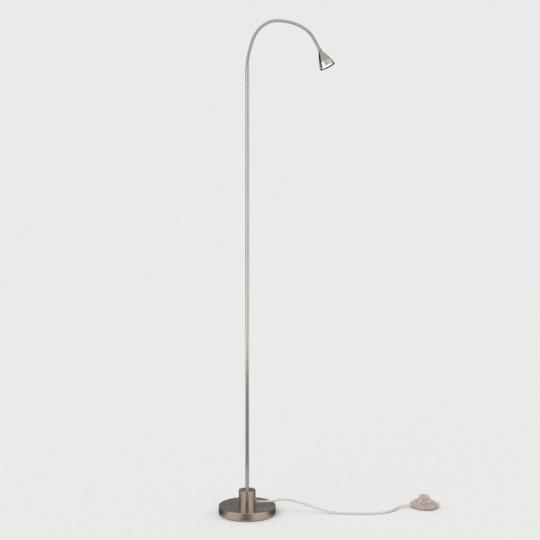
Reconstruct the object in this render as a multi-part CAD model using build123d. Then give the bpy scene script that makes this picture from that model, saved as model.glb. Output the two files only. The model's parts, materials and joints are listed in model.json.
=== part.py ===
from build123d import *
import math
import os

# A floor lamp: weighted round base, cylindrical hub, three-part pole, a wound gooseneck arm in
# nine segments on ball seats, a small trumpet head, and a cord that runs to a round foot switch.
# Origin: centre of the base's resting face. +Z up, the arm reaches towards +X. Sizes in mm.

# ---------------------------------------------------------------- fits
FIT = 0.05                # radial clearance of a seated or screwed round fit
BALL_FIT = 0.10           # radial clearance of an arm ball in its seat
SLIDE_FIT = 0.35          # radial clearance of the push button in its collar

# ---------------------------------------------------------------- base
BASE_D = 150.0
COVER_H = 20.5
COVER_WALL = 1.2
COVER_EDGE = 1.0          # rounding of the cover's top edge
FELT_T = 1.5
FELT_MARGIN = 3.0         # the felt stops this far inside the cover's edge
PLATE_T = 1.2
WEIGHT_GAP = 0.3          # radial room between the weight and the cover
BOLT_D = 8.0
BOLT_HEAD_AF = 13.0
BOLT_HEAD_H = 5.3
WASHER_D = 24.0
WASHER_T = 1.6
BOLT_RECESS_D = 28.0
BOLT_RECESS_H = 8.0
PLATE_SCREW_D = 4.0
PLATE_SCREW_HEAD_D = 7.6
PLATE_SCREW_L = 9.0
PLATE_SCREW_COUNT = 3
PLATE_SCREW_PCD = 110.0

# ---------------------------------------------------------------- hub
HUB_D = 45.0
HUB_H = 40.0
HUB_WALL = 1.5
HUB_TOP_T = 4.0
HUB_EDGE = 0.6
HUB_RIM_T = 4.0           # height of the screwed-in hub base
HUB_BOSS_D = 18.0
HUB_BOSS_H = 8.0
EXIT_H = 9.0              # cord axis above the hub's foot
POST_D = 5.5
SCREW_D = 2.9             # small screws in hub and foot switch
SCREW_HEAD_D = 5.5
SCREW_HEAD_H = 1.8
SCREW_GRIP = 5.5          # length of screw in its post
CLAMP_X = 14.0
CLAMP_HALF_SPAN = 6.5
CLAMP_W = 4.0
CLAMP_T = 2.5
CLAMP_END = 2.5           # strap left outside each screw
CORD_TAIL_X = 10.5
BOARD_H = 16.0            # driver board above the hub base's rim
BOARD_D = 36.0
BOARD_T = 1.6
BOARD_HOLE_D = 3.0
BOARD_POST_R = 15.5
BOARD_POST_ANGLE = 100.0
TRANSFORMER = (9.5, 11.0, 8.4)
TRANSFORMER_X = -11.8
CAPACITOR_D = 8.0
CAPACITOR_H = 9.0
CAPACITOR_XY = (5.0, 10.8)
TERMINAL = (7.0, 16.0, 10.0)
TERMINAL_X = -15.0
TERMINAL_WIRE_D = 3.0

# ---------------------------------------------------------------- cord and its glands
CORD_D = 5.6
GLAND_NECK_D = 7.8
GLAND_FLANGE_D = 9.6
GLAND_FLANGE_T = 1.6
GLAND_COLLAR_T = 1.5
RELIEF_L = 20.0           # tapered sleeve on the cord outside the hub
RELIEF_ROOT_D = 8.2
RELIEF_TIP_D = 6.8

# ---------------------------------------------------------------- pole
POLE_D = 10.0
POLE_WALL = 1.0
POLE_SECTION = 369.5
POLE_SECTIONS = 3
STUD_L = 28.0
STUD_BORE_D = 5.0
NUT_AF = 12.0
NUT_H = 5.0
NIPPLE_TAIL = 1.5         # nipple showing below its nut
LEAD_D = 3.4

# ---------------------------------------------------------------- gooseneck arm
ARM_D = 8.0
ARM_RIB_DEPTH = 0.5
ARM_BORE_D = 4.4
ARM_SEGMENT = 33.78       # length of one segment along the arch
ARM_TURNS = (13.0, 5.0, 20.0, 28.0, 30.0, 11.0, 17.0, 26.0, 5.0)
ARM_RIBS = 14             # ribs of one segment
RIB_PROFILE = ((0.0, 0.0), (0.2, 0.7), (0.5, 1.0), (0.8, 0.7))  # shares of pitch and depth
ARM_GAP = 1.05            # open turn between two segments
ARM_MOUTH_INSET = 0.4     # the seat's mouth is this much thinner than the ribs, per side
BALL_D = 6.4
BALL_REACH = 2.0          # how far a ball enters the next segment
ARM_TAIL_D = 6.6
ARM_TAIL_L = 8.0
COLLAR_D = 9.8
COLLAR_H = 4.0
COLLAR_CHAMFER = 0.5
FITTING_STUD_L = 18.0
LEAD_ARM_GAP = 0.2        # the lead stops this far below the arm's tail

# ---------------------------------------------------------------- head, along its own axis
NECK_D = 9.5
NECK_H = 6.6
NECK_GROOVE_D = 8.4
NECK_GROOVE_H = 0.8
NECK_SOCKET = 5.5
NECK_STUD_D = 6.0
NECK_STUD_L = 9.6
NECK_BORE_D = 3.6
SHELL_L = 29.4
SHELL_TOP_D = 9.8
SHELL_FRONT_D = 34.6
SHELL_BULGE = 0.7
SHELL_TOP_T = 7.0
SHELL_CAVITY_D = 13.0     # cavity's width behind the solid neck
SPIGOT_D = 31.2
SPIGOT_L = 4.5
SPIGOT_WALL = 1.2
NECK_NUT_AF = 8.0
NECK_NUT_H = 2.8
SINK_START = 17.4         # heat sink's disc, behind it its fins, from the shell's top
SINK_T = 7.0
SINK_FIT = 0.10
SINK_BORE_D = 5.0
FIN_COUNT = 6
FIN_L = 5.5
FIN_T = 1.2
FIN_R = 8.0
LED_BOARD_D = 24.0
LED_BOARD_T = 1.6
EMITTER_D = 9.0
EMITTER_T = 1.0
LED_SCREW_D = 1.9
LED_SCREW_HEAD_D = 3.8
LED_SCREW_HEAD_H = 1.3
LED_SCREW_L = 4.0
LED_SCREW_R = 8.5
RING_L = 14.1
RING_FRONT_D = 43.2
RING_LIP = 1.3            # thickness of the ring's front edge
RING_STEP = 0.5           # the ring's bore passes the spigot by this much
LENS_SEAT = 9.2           # the lens's back from the ring's back
LENS_D = 37.0
LENS_T = 1.6
RETAINER_L = 3.0
RETAINER_T = 0.9
REFLECTOR_T = 0.8
REFLECTOR_BACK_D = 10.8
REFLECTOR_FOOT = 1.6
REFLECTOR_FRONT_D = 30.0
REFLECTOR_FLANGE_D = 33.8
HEAD_LEAD_D = 2.6

# ---------------------------------------------------------------- foot switch
SWITCH_X = 476.0
SWITCH_Y = 54.0
SWITCH_ANGLE = 7.0
SWITCH_D = 76.0
SWITCH_FLOOR_D = 64.0
SWITCH_WALL = 2.0
SWITCH_SEAM = 7.5         # height of the seam and of the cord's axis
SWITCH_BRIM = 1.5         # upright edge on each side of the seam
SWITCH_DOME_TOP = 21.5
SWITCH_COLLAR_H = 2.0
SWITCH_COLLAR_T = 2.0
SWITCH_FOOT_D = 9.0
SWITCH_FOOT_T = 1.5
SWITCH_FOOT_R = 24.0
BUTTON_D = 28.5
BUTTON_TOP = 33.0
BUTTON_WALL = 1.8
BUTTON_EDGE = 1.5
BUTTON_FLANGE_D = 33.0
BUTTON_FLANGE_T = 1.5
BUTTON_REST_GAP = 0.3     # flange below the dome's inside
BUTTON_STEM_D = 6.0
BUTTON_TRAVEL = 4.0
STEM_FIT = 0.3
STEM_ENTRY = 0.5          # stem inside the unit at rest
UNIT = (18.0, 14.0, 12.0)
SPRING_D = 11.0
SPRING_WIRE_D = 1.0
SPRING_SIDES = 6          # flats of the thin wire
SPRING_TURNS = 4
SPRING_END_GAP = 0.1
SPRING_CORNERS = 4        # arcs of one turn
SPRING_BEND = 0.98        # bend radius of those arcs, as a share of the coil's radius
BRASS = (8.0, 5.0, 6.0)
BRASS_X = 17.0
BRASS_Y = 4.5
BRASS_WIRE_D = 2.6
BRASS_STRIP_T = 1.0
SWITCH_CLAMP_X = 24.5
CASE_SCREW_R = 28.5
CASE_POST_D = 6.0
NUB_OUT = 5.0             # inlet nub beyond the edge
NUB_IN = 1.5              # outlet nub on the cord's side
NUB_D = 8.6
NUB_ROOT = 7.5            # how far a gland reaches inside the edge

# ---------------------------------------------------------------- cord route, hub to switch
CORD_LEAD_HUB = 12.5      # straight stretch out of the hub's sleeve
CORD_LEAD_SWITCH = 18.0   # straight stretch into the switch
CORD_ROUTE = [
    (71, 0, 33),
    (90, 0, 37.3),
    (115, 0, 35.2),
    (148, -1, 26),
    (184, -3, 13.5),
    (220, -7, 4.2),
    (262, -10, 2.9),
    (312, -12, 2.9),
    (356, -7, 2.9),
    (384, 13, 3.1),
    (403, 35, 4.6),
]

# ---------------------------------------------------------------- worked-out levels and radii
PLATE_Z = FELT_T
WEIGHT_Z = PLATE_Z + PLATE_T
HUB_Z = FELT_T + COVER_H
HUB_RIM_Z = HUB_Z + HUB_RIM_T
EXIT_Z = HUB_Z + EXIT_H
RELIEF_END_X = HUB_D / 2 + GLAND_FLANGE_T + RELIEF_L
BOARD_Z = HUB_RIM_Z + BOARD_H
HUB_TOP_Z = HUB_Z + HUB_H
CEILING_Z = HUB_TOP_Z - HUB_TOP_T
POLE_TOP_Z = HUB_TOP_Z + POLE_SECTIONS * POLE_SECTION
ARM_Z = POLE_TOP_Z + COLLAR_H
CORD_R = CORD_D / 2
COVER_BORE_R = BASE_D / 2 - COVER_WALL
HUB_BORE_R = HUB_D / 2 - HUB_WALL
STUD_R = POLE_D / 2 - POLE_WALL - FIT
BALL_R = BALL_D / 2
ARM_R = ARM_D / 2
ARM_VALLEY_R = ARM_R - ARM_RIB_DEPTH
ARM_BORE_R = ARM_BORE_D / 2
CLAMP_Z = EXIT_Z + CORD_R
SWITCH_FLOOR_Z = SWITCH_FOOT_T + SWITCH_WALL
SWITCH_R = SWITCH_D / 2
BUTTON_R = BUTTON_D / 2
SEAM_TOP_Z = SWITCH_SEAM + SWITCH_BRIM
COLLAR_R = BUTTON_R + SLIDE_FIT
UNIT_TOP_Z = SWITCH_FLOOR_Z + UNIT[2]
BUTTON_CEILING_Z = BUTTON_TOP - BUTTON_WALL
FLANGE_TOP_Z = SWITCH_DOME_TOP - SWITCH_WALL - BUTTON_REST_GAP
SWITCH = Pos(SWITCH_X, SWITCH_Y, 0) * Rot(0, 0, SWITCH_ANGLE)

UP = (Align.CENTER, Align.CENTER, Align.MIN)


# ---------------------------------------------------------------- shape helpers
def disc(radius, z0, z1):
    """Upright cylinder between two heights."""
    return Pos(0, 0, z0) * Cylinder(radius, z1 - z0, align=UP)


def tube(outer_r, inner_r, z0, z1):
    """Upright pipe between two heights."""
    return disc(outer_r, z0, z1) - disc(inner_r, z0, z1)


def block(size, x=0.0, y=0.0, z=0.0):
    """Box that stands on height z."""
    return Pos(x, y, z) * Box(*size, align=UP)


def turned(points):
    """Solid turned about Z from an (r, z) outline."""
    return revolve(Plane.XZ * make_face(Polyline(*points, close=True)), Axis.Z)


def hexagon(across_flats, z0, z1):
    """Hexagonal prism between two heights."""
    outline = RegularPolygon(across_flats / 2, 6, major_radius=False)
    return extrude(Pos(0, 0, z0) * outline, z1 - z0)


def along_x(radius, x0, x1, z=0.0):
    """Cylinder along X between two places."""
    return Pos(x0, 0, z) * Rot(0, 90, 0) * Cylinder(radius, x1 - x0, align=UP)


def around(piece, count, start=0.0):
    """The piece repeated about Z."""
    return [Rot(0, 0, start + 360 / count * i) * piece for i in range(count)]


def grouped(pieces):
    """Separate solids of one kind that share a node."""
    return Compound(children=[piece.solid() for piece in pieces])


def small_screw(seat_z):
    """Pan-head screw whose head sits on the given height."""
    head = disc(SCREW_HEAD_D / 2, seat_z, seat_z + SCREW_HEAD_H)
    return head + disc(SCREW_D / 2, seat_z - SCREW_GRIP, seat_z)


def screw_hole(seat_z, depth=SCREW_GRIP):
    """Hole below a seat for a small screw."""
    return disc(SCREW_D / 2 + FIT, seat_z - depth, seat_z)


def clamp_strap(x, z, screw_seat):
    """Strap across the cord, held by a screw at each end."""
    length = 2 * (CLAMP_HALF_SPAN + CLAMP_END)
    strap = block((CLAMP_W, length, CLAMP_T), x, 0, z)
    strap = fillet(strap.edges().filter_by(Axis.Z), CLAMP_W / 3)
    for side in (-1, 1):
        strap -= Pos(x, side * CLAMP_HALF_SPAN, 0) * screw_hole(screw_seat, CLAMP_T)
    return strap


# ---------------------------------------------------------------- base
def plate_screw_places():
    """Places of the bottom plate's screws."""
    return around(Pos(PLATE_SCREW_PCD / 2, 0, 0), PLATE_SCREW_COUNT, 30)


def plate_screw():
    """Countersunk screw, its head flush with the plate's underside."""
    head_r = PLATE_SCREW_HEAD_D / 2
    shank_r = PLATE_SCREW_D / 2
    tip = PLATE_Z + PLATE_SCREW_L
    return turned([(0, PLATE_Z), (head_r, PLATE_Z), (shank_r, WEIGHT_Z), (shank_r, tip), (0, tip)])


def plate_screw_room():
    """Space that a plate screw takes in the plate and the weight."""
    head_r = PLATE_SCREW_HEAD_D / 2 + FIT
    shank_r = PLATE_SCREW_D / 2 + FIT
    tip = PLATE_Z + PLATE_SCREW_L + FIT
    return turned([(0, PLATE_Z), (head_r, PLATE_Z), (shank_r, WEIGHT_Z), (shank_r, tip), (0, tip)])


def make_felt():
    """Felt disc that the lamp rests on."""
    return disc(BASE_D / 2 - FELT_MARGIN, 0, FELT_T)


def make_base_plate():
    """Steel plate that closes the cover from below."""
    plate = disc(COVER_BORE_R - WEIGHT_GAP, PLATE_Z, WEIGHT_Z)
    for place in plate_screw_places():
        plate -= place * plate_screw_room()
    return plate


def make_base_weight():
    """Cast-iron disc with a recess for the bolt's head."""
    radius = COVER_BORE_R - WEIGHT_GAP
    weight = disc(radius, WEIGHT_Z, HUB_Z - COVER_WALL)
    weight = chamfer(weight.edges().sort_by(Axis.Z)[-1], COVER_EDGE)
    weight -= disc(BOLT_RECESS_D / 2, WEIGHT_Z, WEIGHT_Z + BOLT_RECESS_H)
    weight -= disc(BOLT_D / 2 + FIT, WEIGHT_Z, HUB_Z)
    for place in plate_screw_places():
        weight -= place * plate_screw_room()
    return weight


def make_base_cover():
    """Drawn steel cover with a rounded top edge."""
    cover = disc(BASE_D / 2, FELT_T, HUB_Z)
    cover = fillet(cover.edges().sort_by(Axis.Z)[-1], COVER_EDGE)
    cover -= disc(COVER_BORE_R, FELT_T, HUB_Z - COVER_WALL)
    return cover - disc(BOLT_D / 2 + FIT, FELT_T, HUB_Z)


def make_base_washer():
    """Washer between the bolt's head and the weight."""
    top = WEIGHT_Z + BOLT_RECESS_H
    return tube(WASHER_D / 2, BOLT_D / 2 + FIT, top - WASHER_T, top)


def make_base_bolt():
    """Bolt that ties the weight and the cover to the hub base."""
    seat = WEIGHT_Z + BOLT_RECESS_H - WASHER_T
    head = hexagon(BOLT_HEAD_AF, seat - BOLT_HEAD_H, seat)
    return head + disc(BOLT_D / 2, seat, HUB_Z + HUB_BOSS_H - FIT)


# ---------------------------------------------------------------- hub
def board_posts():
    """Places of the driver board's two posts."""
    return [Rot(0, 0, side * BOARD_POST_ANGLE) * Pos(BOARD_POST_R, 0, 0) for side in (-1, 1)]


def clamp_posts():
    """Places of the cord clamp's two posts."""
    return [Pos(CLAMP_X, side * CLAMP_HALF_SPAN, 0) for side in (-1, 1)]


def make_hub_base():
    """Screwed-in foot of the hub: boss for the bolt, posts, and a pad under the cord."""
    foot = disc(HUB_BORE_R - FIT, HUB_Z, HUB_RIM_Z)
    foot += disc(HUB_BOSS_D / 2, HUB_RIM_Z, HUB_Z + HUB_BOSS_H)
    pad_h = EXIT_Z - CORD_R - HUB_RIM_Z
    foot += block((CLAMP_W, CORD_D, pad_h), CLAMP_X, 0, HUB_RIM_Z)
    for place in clamp_posts():
        foot += place * disc(POST_D / 2, HUB_RIM_Z, CLAMP_Z)
        foot -= place * screw_hole(CLAMP_Z, SCREW_GRIP + FIT)
    for place in board_posts():
        foot += place * disc(POST_D / 2, HUB_RIM_Z, BOARD_Z)
        foot -= place * screw_hole(BOARD_Z, SCREW_GRIP + FIT)
    return foot - disc(BOLT_D / 2 + FIT, HUB_Z, HUB_Z + HUB_BOSS_H)


def make_hub_cover():
    """Turned cup over the hub, with the cord's hole in its side."""
    cover = disc(HUB_D / 2, HUB_Z, HUB_TOP_Z)
    cover = fillet(cover.edges().sort_by(Axis.Z)[-1], HUB_EDGE)
    cover -= disc(HUB_BORE_R, HUB_Z, CEILING_Z)
    cover -= disc(STUD_R + FIT, CEILING_Z, HUB_TOP_Z)
    return cover - along_x(GLAND_NECK_D / 2 + FIT, 0, HUB_D, EXIT_Z)


def make_hub_gland():
    """Bush in the hub's wall: tapered sleeve and flange outside, snap collar inside."""
    face = HUB_D / 2
    inner = math.sqrt(HUB_BORE_R**2 - (GLAND_FLANGE_D / 2) ** 2) - FIT
    bush = along_x(GLAND_NECK_D / 2, inner - GLAND_COLLAR_T, face, EXIT_Z)
    flange = along_x(GLAND_FLANGE_D / 2, face, face + GLAND_FLANGE_T, EXIT_Z)
    bush += chamfer(flange.edges().sort_by(Axis.X)[-1], GLAND_FLANGE_T / 3)
    bush += along_x(GLAND_FLANGE_D / 2, inner - GLAND_COLLAR_T, inner, EXIT_Z)
    relief = Cone(RELIEF_ROOT_D / 2, RELIEF_TIP_D / 2, RELIEF_L, align=UP)
    bush += Pos(face + GLAND_FLANGE_T, 0, EXIT_Z) * Rot(0, 90, 0) * relief
    return bush - along_x(CORD_R + FIT, 0, RELIEF_END_X, EXIT_Z)


def make_hub_cord_tail():
    """End of the cord's sheath, held in the hub."""
    return along_x(CORD_R, CORD_TAIL_X, RELIEF_END_X, EXIT_Z)


def make_hub_screws():
    """Screws of the cord clamp and of the driver board."""
    screws = [place * small_screw(CLAMP_Z + CLAMP_T) for place in clamp_posts()]
    screws += [place * small_screw(BOARD_Z + BOARD_T) for place in board_posts()]
    return grouped(screws)


def make_terminal_block():
    """Mains terminal block with two wire holes."""
    part = block(TERMINAL, TERMINAL_X, 0, HUB_RIM_Z)
    part = chamfer(part.edges().group_by(Axis.Z)[-1], FIN_T / 2)
    for side in (-1, 1):
        hole = along_x(TERMINAL_WIRE_D / 2, TERMINAL_X, 0, HUB_RIM_Z + TERMINAL[2] / 2)
        part -= Pos(0, side * TERMINAL[1] / 4, 0) * hole
    return part


def make_driver_board():
    """Round board of the LED driver."""
    board = disc(BOARD_D / 2, BOARD_Z, BOARD_Z + BOARD_T)
    board -= disc(BOARD_HOLE_D / 2, BOARD_Z, BOARD_Z + BOARD_T)
    for place in board_posts():
        board -= place * screw_hole(BOARD_Z + BOARD_T, BOARD_T)
    return board


def make_driver_transformer():
    """Transformer: core with a narrower winding between its cheeks."""
    size = TRANSFORMER
    part = block(size, TRANSFORMER_X, 0, BOARD_Z + BOARD_T)
    slot = block((size[0], size[1], size[2] / 2), 0, 0, BOARD_Z + BOARD_T + size[2] / 4)
    for side in (-1, 1):
        part -= Pos(TRANSFORMER_X, side * size[1] * 0.85, 0) * slot
    return part


def make_driver_capacitor():
    """Standing electrolytic capacitor."""
    can = disc(CAPACITOR_D / 2, BOARD_Z + BOARD_T, BOARD_Z + BOARD_T + CAPACITOR_H)
    can = chamfer(can.edges().sort_by(Axis.Z)[-1], HUB_EDGE)
    return Pos(*CAPACITOR_XY, 0) * can


# ---------------------------------------------------------------- pole
def make_pole_section(index):
    """One of the pole's equal tubes, counted from the hub."""
    foot = HUB_TOP_Z + index * POLE_SECTION
    return tube(POLE_D / 2, POLE_D / 2 - POLE_WALL, foot, foot + POLE_SECTION)


def make_pole_studs():
    """Hollow studs that join the tubes."""
    studs = []
    for index in range(1, POLE_SECTIONS):
        joint = HUB_TOP_Z + index * POLE_SECTION
        studs.append(tube(STUD_R, STUD_BORE_D / 2, joint - STUD_L / 2, joint + STUD_L / 2))
    return grouped(studs)


def make_pole_nipple():
    """Hollow threaded nipple that fastens the pole to the hub's top."""
    foot = CEILING_Z - NUT_H - NIPPLE_TAIL
    return tube(STUD_R, STUD_BORE_D / 2, foot, HUB_TOP_Z + STUD_L / 2)


def make_pole_nut():
    """Nut under the hub's top."""
    return hexagon(NUT_AF, CEILING_Z - NUT_H, CEILING_Z) - disc(STUD_R + FIT, 0, HUB_TOP_Z)


def make_pole_lead():
    """Two-core lead from the driver up to the arm."""
    return disc(LEAD_D / 2, BOARD_Z + BOARD_T, ARM_Z - ARM_TAIL_L - LEAD_ARM_GAP)


# ---------------------------------------------------------------- gooseneck arm
def arm_frames():
    """Frames at the segments' ends along the arch: Z along the arm, Y sideways."""
    frame = Plane(origin=(0, 0, ARM_Z), x_dir=(1, 0, 0), z_dir=(0, 0, 1))
    frames = [frame]
    for turn in ARM_TURNS:
        frame = arc_frame(frame, turn, ARM_SEGMENT)
        frames.append(frame)
    return frames


def arc_frame(start, turn, distance):
    """Frame after an arc that leans the arm over by a turn in degrees."""
    radius = ARM_SEGMENT / math.radians(turn)
    angle = distance / radius if turn else 0.0
    if distance == ARM_SEGMENT:
        angle = math.radians(turn)
    end = start.from_local_coords(
        Vector(radius * (1 - math.cos(angle)), 0, radius * math.sin(angle))
    )
    forward = start.x_dir * math.sin(angle) + start.z_dir * math.cos(angle)
    across = start.x_dir * math.cos(angle) - start.z_dir * math.sin(angle)
    return Plane(origin=end, x_dir=across, z_dir=forward)


def rib_sections(start, turn, has_mouth, has_ball):
    """Circles through the valleys, shoulders and crests of one segment's winding."""
    wound = ARM_SEGMENT - ARM_GAP if has_ball else ARM_SEGMENT
    pitch = wound / ARM_RIBS
    stations = [
        ((rib + along) * pitch, ARM_VALLEY_R + rise * ARM_RIB_DEPTH)
        for rib in range(ARM_RIBS)
        for along, rise in RIB_PROFILE
    ]
    stations.append((wound, ARM_VALLEY_R))
    if has_mouth:
        stations[0] = (0.0, ARM_R - ARM_MOUTH_INSET)
    sections = []
    for distance, radius in stations:
        frame = arc_frame(start, turn, distance)
        sections.append(Plane(origin=frame.origin, x_dir=(0, 1, 0), z_dir=frame.z_dir) * Circle(radius))
    return [section.face() for section in sections]


def ball(frame):
    """Ball turn at a segment's end, centred on the joint."""
    shoulder = disc(BALL_R, -ARM_GAP - ARM_RIB_DEPTH, BALL_REACH)
    return frame * (Sphere(BALL_R) & shoulder)


def arm_bore(start, turn):
    """Round hole along one segment's arc, for the lead."""
    stop = arc_frame(start, turn, ARM_SEGMENT)
    middle = arc_frame(start, turn, ARM_SEGMENT / 2)
    path = ThreePointArc(start.origin, middle.origin, stop.origin)
    return sweep(start * Circle(ARM_BORE_R), path=path)


def make_arm_segment(index, frames):
    """A stretch of the winding: seat for the last ball, ribs, and its own ball."""
    start = frames[index]
    end = frames[index + 1]
    turn = ARM_TURNS[index]
    is_first = index == 0
    is_last = index == len(ARM_TURNS) - 1
    segment = loft(rib_sections(start, turn, not is_first, not is_last), ruled=True)
    if is_first:
        segment += start * disc(ARM_TAIL_D / 2, -ARM_TAIL_L, 0)
    else:
        segment -= start * Sphere(BALL_R + BALL_FIT)
    if is_last:
        segment += end * disc(ARM_TAIL_D / 2, 0, NECK_SOCKET)
    else:
        segment += ball(end)
    segment -= arm_bore(start, turn)
    segment -= start * disc(ARM_BORE_R, -ARM_TAIL_L, 0)
    segment -= end * disc(ARM_BORE_R, 0, NECK_SOCKET)
    return segment


def make_arm_lower_fitting():
    """Turned fitting between the pole and the arm."""
    collar = disc(COLLAR_D / 2, POLE_TOP_Z, ARM_Z)
    collar = chamfer(collar.edges().sort_by(Axis.Z)[-1], COLLAR_CHAMFER)
    fitting = collar + disc(STUD_R, POLE_TOP_Z - FITTING_STUD_L, POLE_TOP_Z)
    fitting -= disc(ARM_TAIL_D / 2 + FIT, ARM_Z - ARM_TAIL_L, ARM_Z)
    return fitting - disc(STUD_BORE_D / 2, POLE_TOP_Z - FITTING_STUD_L, ARM_Z)


# ---------------------------------------------------------------- head, drawn along +Z
SHELL_Z = NECK_H
RING_Z = SHELL_Z + SHELL_L
CAVITY_Z = SHELL_Z + SHELL_TOP_T
SPIGOT_END = RING_Z + SPIGOT_L
CAVITY_FRONT_R = SPIGOT_D / 2 - SPIGOT_WALL
SINK_Z = SHELL_Z + SINK_START
LED_Z = SINK_Z + SINK_T
LENS_Z = RING_Z + LENS_SEAT
LENS_FRONT = LENS_Z + LENS_T
MOUTH_Z = RING_Z + RING_L
MOUTH_R = RING_FRONT_D / 2 - RING_LIP
SEAT_R = LENS_D / 2 + FIT


def cavity_radius(z):
    """Radius of the head's hollow cone at a height."""
    start = SHELL_CAVITY_D / 2
    share = (z - CAVITY_Z) / (RING_Z - CAVITY_Z)
    return start + share * (CAVITY_FRONT_R - start)


def make_neck_fitting():
    """Turned collar at the arm's end, screwed into the shell."""
    outline = [
        (0, 0),
        (NECK_D / 2, 0),
        (NECK_D / 2, (NECK_H - NECK_GROOVE_H) / 2),
        (NECK_GROOVE_D / 2, (NECK_H - NECK_GROOVE_H) / 2),
        (NECK_GROOVE_D / 2, (NECK_H + NECK_GROOVE_H) / 2),
        (NECK_D / 2, (NECK_H + NECK_GROOVE_H) / 2),
        (NECK_D / 2, NECK_H),
        (NECK_STUD_D / 2, NECK_H),
        (NECK_STUD_D / 2, NECK_H + NECK_STUD_L),
        (0, NECK_H + NECK_STUD_L),
    ]
    fitting = turned(outline) - disc(ARM_TAIL_D / 2 + FIT, 0, NECK_SOCKET)
    return fitting - disc(NECK_BORE_D / 2, 0, NECK_H + NECK_STUD_L)


def make_head_shell():
    """Trumpet-shaped shell with a screwed spigot at its front."""
    top_r = SHELL_TOP_D / 2
    front_r = SHELL_FRONT_D / 2
    middle = ((top_r + front_r) / 2 + SHELL_BULGE, (SHELL_Z + RING_Z) / 2)
    side = ThreePointArc((top_r, SHELL_Z), middle, (front_r, RING_Z))
    rest = Polyline(
        (front_r, RING_Z),
        (SPIGOT_D / 2, RING_Z),
        (SPIGOT_D / 2, SPIGOT_END),
        (CAVITY_FRONT_R, SPIGOT_END),
        (CAVITY_FRONT_R, RING_Z),
        (SHELL_CAVITY_D / 2, CAVITY_Z),
        (NECK_STUD_D / 2 + FIT, CAVITY_Z),
        (NECK_STUD_D / 2 + FIT, SHELL_Z),
        (top_r, SHELL_Z),
    )
    return revolve(Plane.XZ * make_face([side, rest]), Axis.Z)


def make_neck_nut():
    """Nut that holds the shell to the neck fitting."""
    nut = hexagon(NECK_NUT_AF, CAVITY_Z, CAVITY_Z + NECK_NUT_H)
    return nut - disc(NECK_STUD_D / 2 + FIT, CAVITY_Z, CAVITY_Z + NECK_NUT_H)


def led_screw_places():
    """Places of the LED board's two screws."""
    return around(Pos(LED_SCREW_R, 0, 0), 2, 90)


def led_screw_hole(depth):
    """Hole for a LED board screw, down from the board's front."""
    front = LED_Z + LED_BOARD_T
    return disc(LED_SCREW_D / 2 + FIT, front - depth, front)


def make_heat_sink():
    """Conical heat sink with radial fins behind it."""
    sink = turned(
        [
            (0, SINK_Z),
            (cavity_radius(SINK_Z) - SINK_FIT, SINK_Z),
            (cavity_radius(LED_Z) - SINK_FIT, LED_Z),
            (0, LED_Z),
        ]
    )
    fin = block((FIN_R, FIN_T, FIN_L), FIN_R / 2, 0, SINK_Z - FIN_L)
    for piece in around(fin, FIN_COUNT):
        sink += piece
    sink -= disc(SINK_BORE_D / 2, SINK_Z - FIN_L, LED_Z)
    for place in led_screw_places():
        sink -= place * led_screw_hole(LED_SCREW_L + FIT)
    return sink


def make_led_board():
    """Round metal-core board."""
    board = disc(LED_BOARD_D / 2, LED_Z, LED_Z + LED_BOARD_T)
    for place in led_screw_places():
        board -= place * led_screw_hole(LED_BOARD_T)
    return board


def make_led_emitter():
    """Emitter with a rounded edge."""
    part = disc(EMITTER_D / 2, LED_Z + LED_BOARD_T, LED_Z + LED_BOARD_T + EMITTER_T)
    return chamfer(part.edges().sort_by(Axis.Z)[-1], EMITTER_T / 3)


def make_led_screws():
    """Screws of the LED board."""
    front = LED_Z + LED_BOARD_T
    screw = disc(LED_SCREW_HEAD_D / 2, front, front + LED_SCREW_HEAD_H)
    screw += disc(LED_SCREW_D / 2, front - LED_SCREW_L, front)
    return grouped([place * screw for place in led_screw_places()])


def make_reflector():
    """Open conical reflector that stands on the LED board."""
    back = LED_Z + LED_BOARD_T
    cone = back + REFLECTOR_FOOT
    flange = LENS_Z - REFLECTOR_T
    inner = REFLECTOR_BACK_D / 2
    front = REFLECTOR_FRONT_D / 2
    return turned(
        [
            (inner, back),
            (inner + REFLECTOR_T, back),
            (inner + REFLECTOR_T, cone),
            (front + REFLECTOR_T, flange),
            (REFLECTOR_FLANGE_D / 2, flange),
            (REFLECTOR_FLANGE_D / 2, LENS_Z),
            (front, LENS_Z),
            (inner, cone),
        ]
    )


def make_lens():
    """Frosted flat lens."""
    return disc(LENS_D / 2, LENS_Z, LENS_FRONT)


def make_front_ring():
    """Screwed front ring with the lens's seat and a thin front edge."""
    bore_r = SPIGOT_D / 2 + FIT
    step = SPIGOT_END + RING_STEP
    seat_r = REFLECTOR_FLANGE_D / 2 + FIT
    return turned(
        [
            (bore_r, RING_Z),
            (SHELL_FRONT_D / 2, RING_Z),
            (RING_FRONT_D / 2, MOUTH_Z),
            (MOUTH_R, MOUTH_Z),
            (SEAT_R, LENS_FRONT),
            (SEAT_R, LENS_Z),
            (seat_r, LENS_Z),
            (seat_r, LENS_Z - REFLECTOR_T - FIT),
            (bore_r, step),
        ]
    )


def make_lens_retainer():
    """Black ring that holds the lens in front."""
    slope = (MOUTH_R - SEAT_R) / (MOUTH_Z - LENS_FRONT)
    back_r = SEAT_R - SINK_FIT
    front_r = back_r + slope * RETAINER_L
    end = LENS_FRONT + RETAINER_L
    return turned(
        [
            (back_r - RETAINER_T, LENS_FRONT),
            (back_r, LENS_FRONT),
            (front_r, end),
            (front_r - RETAINER_T, end),
        ]
    )


def make_head_lead():
    """Lead from the arm's end to the LED board."""
    return disc(HEAD_LEAD_D / 2, NECK_SOCKET, LED_Z)


# ---------------------------------------------------------------- foot switch, drawn at the origin
def case_screw_places():
    """Places of the switch's case screws, between the clamps."""
    return [Rot(0, 0, angle) * Pos(CASE_SCREW_R, 0, 0) for angle in (60, 120, 240, 300)]


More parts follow.
